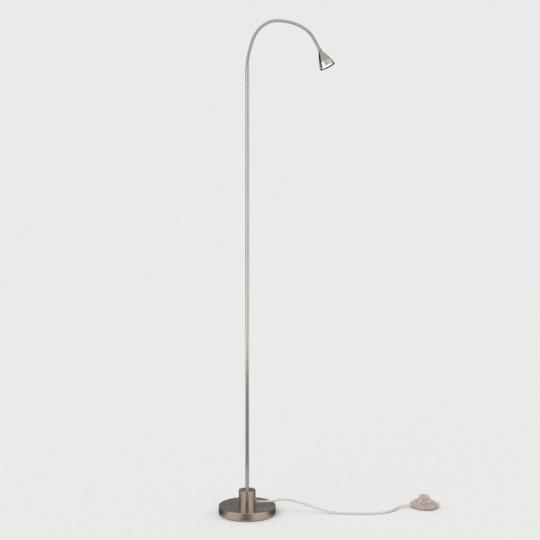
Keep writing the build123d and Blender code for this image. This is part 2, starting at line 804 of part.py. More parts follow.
def strap_places():
    """Places of the screws in both cord clamps."""
    return [
        Pos(end * SWITCH_CLAMP_X, side * CLAMP_HALF_SPAN, 0)
        for end in (-1, 1)
        for side in (-1, 1)
    ]


def gland_room():
    """Space for both glands through the case's edge."""
    return along_x(NUB_D / 2 + FIT, -SWITCH_D, SWITCH_D, SWITCH_SEAM) - along_x(
        SWITCH_D, NUB_ROOT - SWITCH_R, SWITCH_R - NUB_ROOT, SWITCH_SEAM
    )


def make_switch_bottom():
    """Shallow clear dish with posts for the straps and the case screws."""
    wall = SWITCH_WALL
    low = SWITCH_SEAM - SWITCH_BRIM
    floor_r = SWITCH_FLOOR_D / 2
    inner_r = SWITCH_R - wall
    dish = turned(
        [
            (0, SWITCH_FOOT_T),
            (floor_r, SWITCH_FOOT_T),
            (SWITCH_R, low),
            (SWITCH_R, SWITCH_SEAM),
            (inner_r, SWITCH_SEAM),
            (inner_r, low + wall / 3),
            (floor_r - wall / 3, SWITCH_FLOOR_Z),
            (0, SWITCH_FLOOR_Z),
        ]
    )
    cradle_z = SWITCH_SEAM - CORD_R
    for end in (-1, 1):
        x = end * SWITCH_CLAMP_X
        dish += block((CLAMP_W, CORD_D, cradle_z - SWITCH_FLOOR_Z), x, 0, SWITCH_FLOOR_Z)
    for place in strap_places():
        dish += place * disc(POST_D / 2, SWITCH_FLOOR_Z, SWITCH_SEAM + CORD_R)
        dish -= place * screw_hole(SWITCH_SEAM + CORD_R, SCREW_GRIP + FIT)
    for place in case_screw_places():
        dish += place * disc(CASE_POST_D / 2, SWITCH_FLOOR_Z, SWITCH_SEAM)
        dish -= place * case_screw_room()
    return dish - gland_room()


def case_screw_top():
    """Height that a case screw reaches in the top cover's post."""
    return SWITCH_FOOT_T + SCREW_HEAD_H + 2 * SCREW_GRIP


def case_screw():
    """Screw put in from below, its head in the dish's floor."""
    head_top = SWITCH_FOOT_T + SCREW_HEAD_H
    head = disc(SCREW_HEAD_D / 2, SWITCH_FOOT_T, head_top)
    return head + disc(SCREW_D / 2, head_top, case_screw_top())


def case_screw_room():
    """Space for a case screw."""
    head_top = SWITCH_FOOT_T + SCREW_HEAD_H
    room = disc(SCREW_HEAD_D / 2 + FIT, SWITCH_FOOT_T, head_top)
    return room + disc(SCREW_D / 2 + FIT, head_top, case_screw_top() + FIT)


def dome_outline(offset):
    """Side of the dome from the brim to the collar, at an offset inwards."""
    outer = (SWITCH_R - offset, SEAM_TOP_Z)
    inner = (COLLAR_R + SWITCH_COLLAR_T, SWITCH_DOME_TOP - offset)
    middle_r = (outer[0] + inner[0]) / 2 + offset / 4
    rise = inner[1] - outer[1]
    return outer, (middle_r, outer[1] + rise * 0.66), inner


def make_switch_top():
    """Clear dome with the button's collar and four screw posts."""
    outer, outer_mid, outer_top = dome_outline(0)
    inner, inner_mid, inner_top = dome_outline(SWITCH_WALL)
    collar_top = SWITCH_DOME_TOP + SWITCH_COLLAR_H
    lines = [
        ThreePointArc(outer, outer_mid, outer_top),
        Polyline(
            outer_top,
            (outer_top[0], collar_top),
            (COLLAR_R, collar_top),
            (COLLAR_R, inner_top[1]),
            inner_top,
        ),
        ThreePointArc(inner_top, inner_mid, inner),
        Polyline(inner, (inner[0], SWITCH_SEAM), (outer[0], SWITCH_SEAM), outer),
    ]
    dome = revolve(Plane.XZ * make_face(lines), Axis.Z)
    room = revolve(
        Plane.XZ
        * make_face(
            [
                ThreePointArc(outer, outer_mid, outer_top),
                Polyline(outer_top, (0, outer_top[1]), (0, SWITCH_SEAM), (outer[0], SWITCH_SEAM), outer),
            ]
        ),
        Axis.Z,
    )
    for place in case_screw_places():
        post = place * disc(CASE_POST_D / 2, SWITCH_SEAM, SWITCH_DOME_TOP)
        dome += post & room
        dome -= place * case_screw_room()
    return dome - gland_room()


def make_switch_button():
    """Clear push button: cap, skirt with a stop flange, and a stem."""
    skirt_r = BUTTON_R - BUTTON_WALL
    cap = disc(BUTTON_R, FLANGE_TOP_Z - BUTTON_FLANGE_T, BUTTON_TOP)
    cap = fillet(cap.edges().sort_by(Axis.Z)[-1], BUTTON_EDGE)
    cap += disc(BUTTON_FLANGE_D / 2, FLANGE_TOP_Z - BUTTON_FLANGE_T, FLANGE_TOP_Z)
    cap -= disc(skirt_r, FLANGE_TOP_Z - BUTTON_FLANGE_T, BUTTON_CEILING_Z)
    return cap + disc(BUTTON_STEM_D / 2, UNIT_TOP_Z - STEM_ENTRY, BUTTON_CEILING_Z)


def make_button_spring():
    """Return spring round the stem, between the unit and the cap, on arcs of a quarter turn."""
    wire_r = SPRING_WIRE_D / 2
    low = UNIT_TOP_Z + wire_r + SPRING_END_GAP
    height = BUTTON_CEILING_Z - UNIT_TOP_Z - SPRING_WIRE_D - 2 * SPRING_END_GAP
    coil_r = SPRING_D / 2 - wire_r
    step = math.pi / SPRING_CORNERS
    count = SPRING_TURNS * SPRING_CORNERS
    corners = [Vector(coil_r, 0, low)]
    for number in range(count):
        angle = (2 * number + 1) * step
        out = coil_r / math.cos(step)
        rise = height * (number + 0.5) / count
        corners.append(Vector(out * math.cos(angle), out * math.sin(angle), low + rise))
    corners.append(Vector(coil_r, 0, low + height))
    path = FilletPolyline(*corners, radius=SPRING_BEND * coil_r)
    section = Plane(origin=path @ 0, z_dir=path % 0) * RegularPolygon(wire_r, SPRING_SIDES)
    print("spring gap to itself", round(gap_to_itself(path, SPRING_TURNS, SPRING_WIRE_D), 2), "mm")
    return sweep(section, path=path)


def gap_to_itself(path, turns, diameter):
    """Least gap between points of a coil that lie more than half a turn apart."""
    per_turn = 36
    points = [path @ (number / (turns * per_turn)) for number in range(turns * per_turn + 1)]
    gaps = [
        (far - near).length - diameter
        for start, near in enumerate(points)
        for far in points[start + per_turn // 2 :]
    ]
    return min(gaps)


def make_switch_unit():
    """Latching contact unit with the stem's hole in its top."""
    unit = block(UNIT, 0, 0, SWITCH_FLOOR_Z)
    unit = chamfer(unit.edges().group_by(Axis.Z)[-1], FIN_T / 2)
    hole_depth = BUTTON_TRAVEL + STEM_ENTRY + STEM_FIT
    return unit - disc(BUTTON_STEM_D / 2 + STEM_FIT, UNIT_TOP_Z - hole_depth, UNIT_TOP_Z)


def make_switch_terminals():
    """Four brass terminals with strips to the unit."""
    reach = BRASS_X - UNIT[0] / 2
    terminals = []
    for end in (-1, 1):
        for side in (-1, 1):
            y = side * BRASS_Y
            part = block(BRASS, end * BRASS_X, y, SWITCH_FLOOR_Z)
            strip = (reach, BRASS[1], BRASS_STRIP_T)
            part += block(strip, end * (UNIT[0] / 2 + reach / 2), y, SWITCH_FLOOR_Z)
            hole = along_x(BRASS_WIRE_D / 2, BRASS_X, SWITCH_R, SWITCH_FLOOR_Z + BRASS[2] / 2)
            hole = hole if end > 0 else Rot(0, 0, 180) * hole
            terminals.append(part - Pos(0, y, 0) * hole)
    return grouped(terminals)


def make_switch_clamps():
    """Straps over the cord at both ends."""
    top = SWITCH_SEAM + CORD_R
    seat = top + CLAMP_T
    return grouped([clamp_strap(end * SWITCH_CLAMP_X, top, seat) for end in (-1, 1)])


def make_switch_screws():
    """Screws of the straps and of the case."""
    seat = SWITCH_SEAM + CORD_R + CLAMP_T
    screws = [place * small_screw(seat) for place in strap_places()]
    return grouped(screws + [place * case_screw() for place in case_screw_places()])


def make_switch_feet():
    """Four rubber feet."""
    foot = Pos(SWITCH_FOOT_R, 0, 0) * disc(SWITCH_FOOT_D / 2, 0, SWITCH_FOOT_T)
    return grouped(around(foot, 4, 0))


def make_switch_gland(length):
    """Bush through the edge of the case, standing out by the given length."""
    inside = SWITCH_R - NUB_ROOT
    nub = along_x(NUB_D / 2, inside, SWITCH_R + length, SWITCH_SEAM)
    nub = chamfer(nub.edges().sort_by(Axis.X)[-1], HUB_EDGE)
    return nub - along_x(CORD_R + FIT, inside, SWITCH_R + length, SWITCH_SEAM)


def make_switch_cord_tail():
    """End of the cord's sheath inside the switch."""
    return along_x(CORD_R, -SWITCH_R - NUB_IN, CLAMP_W / 2 + 1 - SWITCH_CLAMP_X, SWITCH_SEAM)


# ---------------------------------------------------------------- cord
def cord_points():
    """Route from the hub's gland, by the chosen points, to the switch's gland."""
    nub_x = -SWITCH_R - NUB_IN
    leaving = [Vector(RELIEF_END_X + out, 0, EXIT_Z) for out in (0, CORD_LEAD_HUB)]
    entering = [
        (SWITCH * Pos(nub_x - out, 0, SWITCH_SEAM)).position for out in (CORD_LEAD_SWITCH, 0)
    ]
    return leaving + [Vector(*point) for point in CORD_ROUTE] + entering


def make_cord():
    """Free stretch of the cord: straight runs joined by tangent arcs."""
    points = cord_points()
    radii = []
    for last, here, after in zip(points, points[1:], points[2:]):
        turn = math.radians((here - last).get_angle(after - here))
        run = min((here - last).length, (after - here).length)
        radii.append(0.45 * run / math.tan(turn / 2))
    path = FilletPolyline(*points, radius=radii)
    first = Plane(origin=path @ 0, z_dir=path % 0)
    cord = sweep(first * Circle(CORD_R), path=path)
    expected = math.pi * CORD_R**2 * path.length
    print("cord length", round(path.length, 1), "mm")
    print("cord radii", [round(radius, 1) for radius in radii])
    print("cord volume over section times length", round(cord.volume / expected, 5))
    return cord


# ---------------------------------------------------------------- all nodes
def make_stand():
    """Base, hub and pole."""
    return {
        "felt_pad": make_felt(),
        "base_plate": make_base_plate(),
        "plate_screws": grouped([place * plate_screw() for place in plate_screw_places()]),
        "base_weight": make_base_weight(),
        "base_cover": make_base_cover(),
        "base_washer": make_base_washer(),
        "base_bolt": make_base_bolt(),
        "hub_base": make_hub_base(),
        "hub_cover": make_hub_cover(),
        "hub_gland": make_hub_gland(),
        "hub_cord_tail": make_hub_cord_tail(),
        "cord_clamp": clamp_strap(CLAMP_X, CLAMP_Z, CLAMP_Z + CLAMP_T),
        "hub_screws": make_hub_screws(),
        "terminal_block": make_terminal_block(),
        "driver_board": make_driver_board(),
        "driver_transformer": make_driver_transformer(),
        "driver_capacitor": make_driver_capacitor(),
        "pole_nipple": make_pole_nipple(),
        "pole_nut": make_pole_nut(),
        "pole_lower": make_pole_section(0),
        "pole_middle": make_pole_section(1),
        "pole_upper": make_pole_section(2),
        "pole_studs": make_pole_studs(),
        "pole_lead": make_pole_lead(),
    }


def make_arm(frames):
    """Fitting on the pole and the arm's segments."""
    nodes = {"arm_lower_fitting": make_arm_lower_fitting()}
    for index in range(len(ARM_TURNS)):
        nodes[f"arm_segment_{index + 1}"] = make_arm_segment(index, frames)
    return nodes


def make_head(neck):
    """Head's pieces, moved to the arm's end."""
    pieces = {
        "neck_fitting": make_neck_fitting(),
        "head_shell": make_head_shell(),
        "neck_nut": make_neck_nut(),
        "heat_sink": make_heat_sink(),
        "led_board": make_led_board(),
        "led_emitter": make_led_emitter(),
        "led_screws": make_led_screws(),
        "reflector": make_reflector(),
        "lens": make_lens(),
        "lens_retainer": make_lens_retainer(),
        "front_ring": make_front_ring(),
        "head_lead": make_head_lead(),
    }
    return {name: neck.location * piece for name, piece in pieces.items()}


def make_foot_switch():
    """Foot switch's pieces, moved to their place on the floor."""
    pieces = {
        "switch_bottom": make_switch_bottom(),
        "switch_top": make_switch_top(),
        "switch_button": make_switch_button(),
        "button_spring": make_button_spring(),
        "switch_unit": make_switch_unit(),
        "switch_terminals": make_switch_terminals(),
        "switch_clamps": make_switch_clamps(),
        "switch_screws": make_switch_screws(),
        "switch_feet": make_switch_feet(),
        "switch_gland_in": make_switch_gland(NUB_OUT),
        "switch_gland_out": Rot(0, 0, 180) * make_switch_gland(NUB_IN),
        "switch_cord_tail": make_switch_cord_tail(),
    }
    return {name: SWITCH * piece for name, piece in pieces.items()}


def print_joints(frames):
    """Joint centres and tangents along the arm, and the switch's place."""
    for number, frame in enumerate(frames):
        spot = [round(value, 3) for value in frame.origin]
        tangent = [round(value, 5) for value in frame.z_dir]
        print("arm frame", number, spot, tangent)


def main():
    frames = arm_frames()
    nodes = make_stand()
    nodes.update(make_arm(frames))
    nodes.update(make_head(frames[-1]))
    nodes.update(make_foot_switch())
    nodes["cord"] = make_cord()
    os.makedirs("parts", exist_ok=True)
    for name, solid in nodes.items():
        export_step(solid, f"parts/{name}.step")
    print_joints(frames)
    print(len(nodes), "nodes")


main()
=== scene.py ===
import json
import math

import bpy
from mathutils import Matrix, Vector


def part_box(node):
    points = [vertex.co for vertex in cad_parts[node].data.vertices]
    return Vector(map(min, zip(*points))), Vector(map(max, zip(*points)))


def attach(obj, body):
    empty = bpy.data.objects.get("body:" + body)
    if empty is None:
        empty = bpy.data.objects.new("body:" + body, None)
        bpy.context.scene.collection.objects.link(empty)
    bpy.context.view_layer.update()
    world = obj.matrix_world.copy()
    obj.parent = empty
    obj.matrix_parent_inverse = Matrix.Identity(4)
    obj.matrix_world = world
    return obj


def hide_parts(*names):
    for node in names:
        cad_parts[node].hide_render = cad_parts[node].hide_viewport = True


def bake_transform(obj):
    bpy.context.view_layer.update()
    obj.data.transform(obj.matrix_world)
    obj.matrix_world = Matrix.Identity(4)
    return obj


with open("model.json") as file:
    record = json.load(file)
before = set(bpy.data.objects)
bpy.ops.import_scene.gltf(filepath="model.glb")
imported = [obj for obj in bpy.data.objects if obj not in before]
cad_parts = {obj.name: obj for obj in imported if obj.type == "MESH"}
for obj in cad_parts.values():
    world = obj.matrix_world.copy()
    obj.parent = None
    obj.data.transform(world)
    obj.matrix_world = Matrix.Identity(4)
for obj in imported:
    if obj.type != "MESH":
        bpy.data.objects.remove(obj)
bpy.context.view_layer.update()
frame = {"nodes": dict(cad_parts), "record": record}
MM = 0.001
UP = Vector((0, 0, 1))

# ---------------------------------------------------------------- sizes shared with the solids, in mm
ARM_FOOT = 1174.5          # height of the gooseneck's lower end
ARM_SEGMENT = 33.78
ARM_TURNS = (13.0, 5.0, 20.0, 28.0, 30.0, 11.0, 17.0, 26.0, 5.0)    # degrees that each segment leans over
ARM_R = 4.0
TURNS_PER_SEGMENT = 14
COIL_STEPS = 24            # points round one turn of the winding
COIL_PROFILE = (           # one turn's outline: share of its width, depth under the arm's radius
    (0.0, 0.50),
    (0.10, 0.26),
    (0.26, 0.07),
    (0.5, 0.0),
    (0.74, 0.07),
    (0.90, 0.26),
)
COIL_RUN_IN = 1            # turns hidden in the fitting at each end

SPRING_D = 11.0
SPRING_WIRE_D = 1.0
SPRING_TURNS = 5
SPRING_CLOSED = 0.75       # turns wound close at each end
SPRING_STEPS = 28          # points along one turn
WIRE_SIDES = 10

CORD_D = 5.6
CORD_LENGTH = 417.8
CORD_TWIST = 16.0          # one twist of the strands
CORD_STRANDS = 2
CORD_ROUTE = (
    (44.1, 0.0, 31.0),
    (56.6, 0.0, 31.0),
    (71.0, 0.0, 33.0),
    (90.0, 0.0, 37.3),
    (115.0, 0.0, 35.2),
    (148.0, -1.0, 26.0),
    (184.0, -3.0, 13.5),
    (220.0, -7.0, 4.2),
    (262.0, -10.0, 2.9),
    (312.0, -12.0, 2.9),
    (356.0, -7.0, 2.9),
    (384.0, 13.0, 3.1),
    (403.0, 35.0, 4.6),
    (418.93, 46.99, 7.5),
    (436.79, 49.19, 7.5),
)

# ---------------------------------------------------------------- studio, in m and degrees
CAMERA_PLACE = (0.060, -2.105, 0.640)    # level, looking along +Y
CAMERA_LENS = 53.333
CAMERA_SENSOR = 36.0
CAMERA_CLIP = (0.05, 100.0)

FLOOR_REACH = 30.0
WORLD_SEEN = 0.82          # tone that the camera, gloss and clear pieces see
WORLD_FILL = 0.75          # tone that lights the object
SUN_PLACE = (-2.2, -2.4, 3.4)
SUN_STRENGTH = 1.1
SUN_SPREAD = 40.0

STUDIO_R = 3.0             # from the object to the softboxes
SOFTBOX_W = 3.6
SOFTBOX_H = 2.7
SOFTBOX_LEVEL = 1.35
SOFTBOX_RADIANCE = 0.7

CARD_R = STUDIO_R + 0.3    # from the object to the upright cards
BASE_R = 0.0765            # just outside the lamp's base
RING_R = 0.17              # outer edge of the graded card round the base
CARD_TONES = {"mid": 0.28, "dark": 0.14, "grey": 0.25, "black": 0.03, "floor": 0.45}
CARD_WALLS = (             # name, azimuths from the camera's side, bottom, top, tone
    ("front", -15, 15, 0.0, 1.6, "mid"),
    ("front_high", -18, 18, 1.6, 4.4, "black"),
    ("right", 96, 132, 0.2, 2.0, "dark"),
    ("back", 150, 210, 0.5, 2.0, "grey"),
    ("left", 228, 264, 0.2, 2.0, "dark"),
    ("high", 82, 278, 2.0, 4.6, "black"),
)
CARD_FLOORS = (            # name, azimuths, inner and outer radius, height, tone
    ("front", -15, 15, RING_R, CARD_R, 0.002, "mid"),
    ("right", 96, 132, RING_R, 0.6, 0.002, "dark"),
    ("left", 228, 264, RING_R, 0.6, 0.002, "dark"),
    ("near", -180, 180, BASE_R, RING_R, 0.003, "graded"),
    ("side_right", 15, 96, 0.5, CARD_R, 0.002, "floor"),
    ("side_left", -96, -15, 0.5, CARD_R, 0.002, "floor"),
)
RING_TONES = (             # azimuth to either side, tone of the graded card
    (0, 0.24),
    (7, 0.26),
    (20, 0.78),
    (50, 0.80),
    (72, 0.12),
    (125, 0.12),
    (145, 0.7),
    (180, 0.5),
)


# ---------------------------------------------------------------- helpers
def opaque(color):
    """Colour with its alpha."""
    return (*color, 1.0)


def toned(color, share):
    """Colour made darker by a share under 1, or lighter."""
    return tuple(part * share for part in color)


def math_node(tree, operation, *inputs, clamp=False):
    """Output of a math node. Its inputs are sockets or plain numbers."""
    node = tree.nodes.new("ShaderNodeMath")
    node.operation = operation
    node.use_clamp = clamp
    for socket, given in zip(node.inputs, inputs):
        if isinstance(given, float):
            socket.default_value = given
        else:
            tree.links.new(given, socket)
    return node.outputs[0]


def link_object(name, data):
    """Object of a mesh, curve, lamp or camera, put into the scene."""
    made = bpy.data.objects.new(name, data)
    bpy.context.scene.collection.objects.link(made)
    return made


def mesh_object(name, points, faces, material, smooth=False):
    """Object of one mesh with one material."""
    mesh = bpy.data.meshes.new(name)
    mesh.from_pydata(points, [], faces)
    mesh.update()
    if smooth:
        mesh.shade_smooth()
    mesh.materials.append(material)
    return link_object(name, mesh)


def middle_of(node):
    """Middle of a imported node's box at rest."""
    low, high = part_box(node)
    return (low + high) / 2


def around_object(radius, azimuth, level):
    """Place at an azimuth in degrees from the camera's side."""
    angle = math.radians(azimuth)
    return radius * math.sin(angle), -radius * math.cos(angle), level


# ---------------------------------------------------------------- materials
class Nodes:
    """A principled material and short ways to add texture nodes to it."""

    def __init__(self, name, color, roughness, metallic=0.0, **extra):
        self.material = bpy.data.materials.new(name)
        self.material.use_nodes = True
        self.tree = self.material.node_tree
        self.shader = self.tree.nodes["Principled BSDF"]
        self.set("Base Color", opaque(color))
        self.set("Roughness", roughness)
        self.set("Metallic", metallic)
        for socket, value in extra.items():
            self.set(socket.replace("_", " "), value)
        self.place = self.tree.nodes.new("ShaderNodeTexCoord").outputs["Object"]

    def set(self, socket, value):
        self.shader.inputs[socket].default_value = value

    def link(self, out, socket):
        self.tree.links.new(out, socket)

    def scaled(self, scale, source=None):
        """Coordinates in metres, times a scale per axis."""
        node = self.tree.nodes.new("ShaderNodeMapping")
        node.inputs["Scale"].default_value = scale
        self.link(source or self.place, node.inputs["Vector"])
        return node.outputs["Vector"]

    def round_axis(self, centre):
        """Coordinates (distance from an upright axis, 0, height)."""
        moved = self.tree.nodes.new("ShaderNodeMapping")
        moved.inputs["Location"].default_value = (-centre[0], -centre[1], 0.0)
        self.link(self.place, moved.inputs["Vector"])
        split = self.tree.nodes.new("ShaderNodeSeparateXYZ")
        self.link(moved.outputs["Vector"], split.inputs["Vector"])
        flat = self.tree.nodes.new("ShaderNodeCombineXYZ")
        self.link(split.outputs["X"], flat.inputs["X"])
        self.link(split.outputs["Y"], flat.inputs["Y"])
        length = self.tree.nodes.new("ShaderNodeVectorMath")
        length.operation = "LENGTH"
        self.link(flat.outputs["Vector"], length.inputs[0])
        joined = self.tree.nodes.new("ShaderNodeCombineXYZ")
        self.link(length.outputs["Value"], joined.inputs["X"])
        self.link(split.outputs["Z"], joined.inputs["Z"])
        return joined.outputs["Vector"]

    def noise(self, scale, detail, roughness=0.55, source=None):
        """Noise from 0 to 1. The scale is per metre, unless the source's coordinates are scaled."""
        node = self.tree.nodes.new("ShaderNodeTexNoise")
        node.inputs["Scale"].default_value = scale
        node.inputs["Detail"].default_value = detail
        node.inputs["Roughness"].default_value = roughness
        self.link(source or self.place, node.inputs["Vector"])
        return node.outputs["Fac"]

    def between(self, factor, low, high, start=0.3, end=0.7):
        """A number that runs from low to high as the factor goes from start to end."""
        node = self.tree.nodes.new("ShaderNodeMapRange")
        node.inputs["From Min"].default_value = start
        node.inputs["From Max"].default_value = end
        node.inputs["To Min"].default_value = low
        node.inputs["To Max"].default_value = high
        self.link(factor, node.inputs["Value"])
        return node.outputs["Result"]

    def tint(self, factor, *stops):
        """Base colour from a ramp of (factor, colour) stops."""
        ramp = self.tree.nodes.new("ShaderNodeValToRGB")
        marks = ramp.color_ramp.elements
        for mark, (position, color) in zip(marks, (stops[0], stops[-1])):
            mark.position, mark.color = position, opaque(color)
        for position, color in stops[1:-1]:
            marks.new(position).color = opaque(color)
        self.link(factor, ramp.inputs["Fac"])
        self.link(ramp.outputs["Color"], self.shader.inputs["Base Color"])

    def shade(self, factor, color, share):
        """Base colour that runs from a share of a colour to the colour itself."""
        self.tint(factor, (0.3, toned(color, share)), (0.7, color))

    def vary_roughness(self, factor, low, high):
        self.link(self.between(factor, low, high), self.shader.inputs["Roughness"])

    def bump(self, factor, depth):
        """Relief of a depth in metres."""
        node = self.tree.nodes.new("ShaderNodeBump")
        node.inputs["Strength"].default_value = 1.0
        node.inputs["Distance"].default_value = depth
        self.link(factor, node.inputs["Height"])
        self.link(node.outputs["Normal"], self.shader.inputs["Normal"])


def turned_metal(name, color, roughness, centre=(0.0, 0.0), rings_per_m=2600.0, depth=0.000004):
    """Metal with the fine rings that turning and belt finishing leave."""
    m = Nodes(name, color, roughness, 1.0)
    ring_place = m.scaled((rings_per_m, 1.0, rings_per_m), m.round_axis(centre))
    rings = m.noise(scale=1.0, detail=3.0, source=ring_place)
    wear = m.noise(scale=28.0, detail=3.0)
    m.shade(wear, color, 0.90)
    m.vary_roughness(rings, roughness * 0.82, roughness * 1.18)
    m.bump(rings, depth)
    return m.material


def drawn_metal(name, color, roughness, lines_per_m=(1800.0, 1800.0, 14.0), depth=0.000003):
    """Metal with fine lines along the tube."""
    m = Nodes(name, color, roughness, 1.0)
    lines = m.noise(scale=1.0, detail=3.0, source=m.scaled(lines_per_m))
    wear = m.noise(scale=30.0, detail=3.0, source=m.scaled((1.0, 1.0, 0.25)))
    m.shade(wear, color, 0.91)
    m.vary_roughness(lines, roughness * 0.85, roughness * 1.15)
    m.bump(lines, depth)
    return m.material


def plain_metal(name, color, roughness, grain=900.0, depth=0.00001):
    """Plated or cast metal with an even fine grain."""
    m = Nodes(name, color, roughness, 1.0)
    grit = m.noise(scale=grain, detail=4.0)
    m.shade(grit, color, 0.86)
    m.vary_roughness(grit, roughness * 0.85, roughness * 1.2)
    m.bump(grit, depth)
    return m.material


def moulded(name, color, roughness, grain=1400.0, depth=0.000006, **extra):
    """Moulded plastic or rubber with a faint texture."""
    m = Nodes(name, color, roughness, **extra)
    grit = m.noise(scale=grain, detail=3.0)
    cloud = m.noise(scale=60.0, detail=2.0)
    m.shade(cloud, color, 0.93)
    m.vary_roughness(grit, roughness * 0.88, min(1.0, roughness * 1.15))
    m.bump(grit, depth)
    return m.material


def felt_material(name, color, roughness):
    """Matted fibres with light and dark flecks."""
    m = Nodes(name, color, roughness, Sheen_Weight=0.25, Sheen_Roughness=0.5)
    fibre = m.noise(scale=2600.0, detail=6.0, roughness=0.7)
    m.tint(fibre, (0.3, toned(color, 0.6)), (0.7, toned(color, 1.8)))
    m.bump(fibre, 0.0002)
    return m.material


def clear_material(name, color, roughness, cover, clearness):
    """Clear moulded plastic with a faint flow texture.

    Cover is the share of light that it bends or scatters, and clearness the bent share of that.
    """
    m = Nodes(name, color, roughness, Alpha=cover, Transmission_Weight=clearness, IOR=1.49)
    flow = m.noise(scale=90.0, detail=2.0, source=m.scaled((1.0, 1.0, 2.5)))
    m.shade(flow, color, 0.95)
    m.vary_roughness(flow, roughness * 0.6, roughness * 1.6)
    m.bump(flow, 0.000004)
    return m.material


def sheath_material(name, color, roughness):
    """Clear cord sheath over two twisted silvery strands, which show through as slanting bands."""
    m = Nodes(name, color, roughness, Coat_Weight=0.5, Coat_Roughness=0.12)
    m.set("Subsurface Weight", 0.12)
    m.set("Subsurface Radius", (0.004, 0.0035, 0.003))
    along = m.tree.nodes.new("ShaderNodeTexCoord").outputs["UV"]
    twisted = m.tree.nodes.new("ShaderNodeVectorMath")
    twisted.operation = "DOT_PRODUCT"
    turns = CORD_LENGTH / CORD_TWIST
    twisted.inputs[1].default_value = (turns * 2 * math.pi, CORD_STRANDS * 2 * math.pi, 0.0)
    m.link(along, twisted.inputs[0])
    wave = math_node(m.tree, "SINE", twisted.outputs["Value"])
    strands = m.between(wave, 0.0, 1.0, -1.0, 1.0)
    fibre = m.noise(scale=1500.0, detail=3.0)
    both = math_node(m.tree, "MULTIPLY_ADD", strands, 0.45, m.between(fibre, 0.0, 0.5))
    m.tint(both, (0.1, (0.62, 0.59, 0.545)), (0.9, (0.75, 0.73, 0.69)))
    m.vary_roughness(fibre, 0.22, 0.34)
    m.bump(wave, 0.00002)
    return m.material


def lens_material(name, color, roughness):
    """Frosted lens with a faint glow."""
    m = Nodes(name, color, roughness, Transmission_Weight=0.35, IOR=1.49)
    m.set("Emission Color", (1.0, 0.98, 0.94, 1.0))
    m.set("Emission Strength", 0.45)
    grain = m.noise(scale=2200.0, detail=3.0)
    m.vary_roughness(grain, 0.35, 0.55)
    m.bump(grain, 0.00003)
    return m.material


def make_materials():
    """Every finish by its name: its maker, colour, roughness and what else the maker takes."""
    finishes = {
        "satin_nickel": (turned_metal, (0.52, 0.43, 0.365), 0.27, {}),
        "tube_nickel": (drawn_metal, (0.56, 0.52, 0.465), 0.15, {"depth": 0.0000008}),
        "wound_steel": (drawn_metal, (0.56, 0.53, 0.47), 0.32, {"lines_per_m": (900.0, 900.0, 900.0)}),
        "head_nickel": (plain_metal, (0.49, 0.45, 0.395), 0.15, {"grain": 700.0, "depth": 0.000002}),
        "polished_ring": (plain_metal, (0.72, 0.69, 0.64), 0.12, {"grain": 500.0, "depth": 0.000002}),
        "felt": (felt_material, (0.05, 0.05, 0.05), 0.95, {}),
        "cast_weight": (plain_metal, (0.14, 0.14, 0.15), 0.7, {"grain": 500.0, "depth": 0.0001}),
        "zinc_steel": (plain_metal, (0.60, 0.61, 0.62), 0.35, {}),
        "hub_casting": (turned_metal, (0.55, 0.55, 0.56), 0.4, {}),
        "grey_bush": (moulded, (0.60, 0.58, 0.54), 0.35, {"Transmission_Weight": 0.15}),
        "clear_cord": (sheath_material, (0.66, 0.63, 0.58), 0.28, {}),
        "white_plastic": (moulded, (0.84, 0.83, 0.80), 0.35, {}),
        "black_plastic": (moulded, (0.016, 0.016, 0.017), 0.35, {}),
        "board_green": (moulded, (0.04, 0.18, 0.08), 0.3, {}),
        "component_yellow": (moulded, (0.72, 0.55, 0.10), 0.45, {}),
        "can_aluminium": (plain_metal, (0.55, 0.56, 0.58), 0.35, {}),
        "brass": (plain_metal, (0.72, 0.52, 0.24), 0.3, {}),
        "sink_aluminium": (plain_metal, (0.70, 0.70, 0.71), 0.4, {}),
        "phosphor": (moulded, (0.88, 0.74, 0.20), 0.5, {}),
        "frosted_lens": (lens_material, (0.93, 0.92, 0.90), 0.45, {}),
        "clear_plastic": (clear_material, (0.84, 0.74, 0.69), 0.25, {"cover": 0.36, "clearness": 0.3}),
        "milky_plastic": (clear_material, (0.80, 0.66, 0.58), 0.3, {"cover": 0.62, "clearness": 0.2}),
        "unit_grey": (moulded, (0.085, 0.08, 0.08), 0.45, {}),
        "contact_bronze": (turned_metal, (0.70, 0.35, 0.15), 0.3, {"centre": middle_of("switch_unit")[:2]}),
        "rubber": (moulded, (0.05, 0.05, 0.05), 0.8, {"grain": 700.0, "depth": 0.00002}),
    }
    return {
        name: maker(name, color, roughness, **extra)
        for name, (maker, color, roughness, extra) in finishes.items()
    }


def dress_nodes(materials):
    """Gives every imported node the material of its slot, or a finish that suits it better."""
    finishes = {row["node"]: row["material_slot"] for row in frame["record"]["subparts"]}
    for name in ("pole_lower", "pole_middle", "pole_upper", "arm_lower_fitting"):
        finishes[name] = "tube_nickel"
    finishes["neck_fitting"] = "head_nickel"
    finishes["switch_bottom"] = "milky_plastic"
    for name, node in frame["nodes"].items():
        for place in node.material_slots:
            place.material = materials[finishes[name]]


# ---------------------------------------------------------------- gooseneck
def arm_frames():
    """Joint frames along the arch, in metres: origin, across (in the arch's plane) and forward."""
    frames = [(Vector((0, 0, ARM_FOOT * MM)), Vector((1, 0, 0)), UP)]
    for turn in ARM_TURNS:
        frames.append(along_arc(frames[-1], turn, ARM_SEGMENT))
    return frames


def along_arc(start, turn, distance):
    """Frame at a distance in mm along a segment that leans over by a turn in degrees."""
    origin, across, forward = start
    radius = ARM_SEGMENT * MM / math.radians(turn)
    angle = distance * MM / radius
    end = origin + across * radius * (1 - math.cos(angle)) + forward * radius * math.sin(angle)
    ahead = across * math.sin(angle) + forward * math.cos(angle)
    side = across * math.cos(angle) - forward * math.sin(angle)
    return end, side, ahead


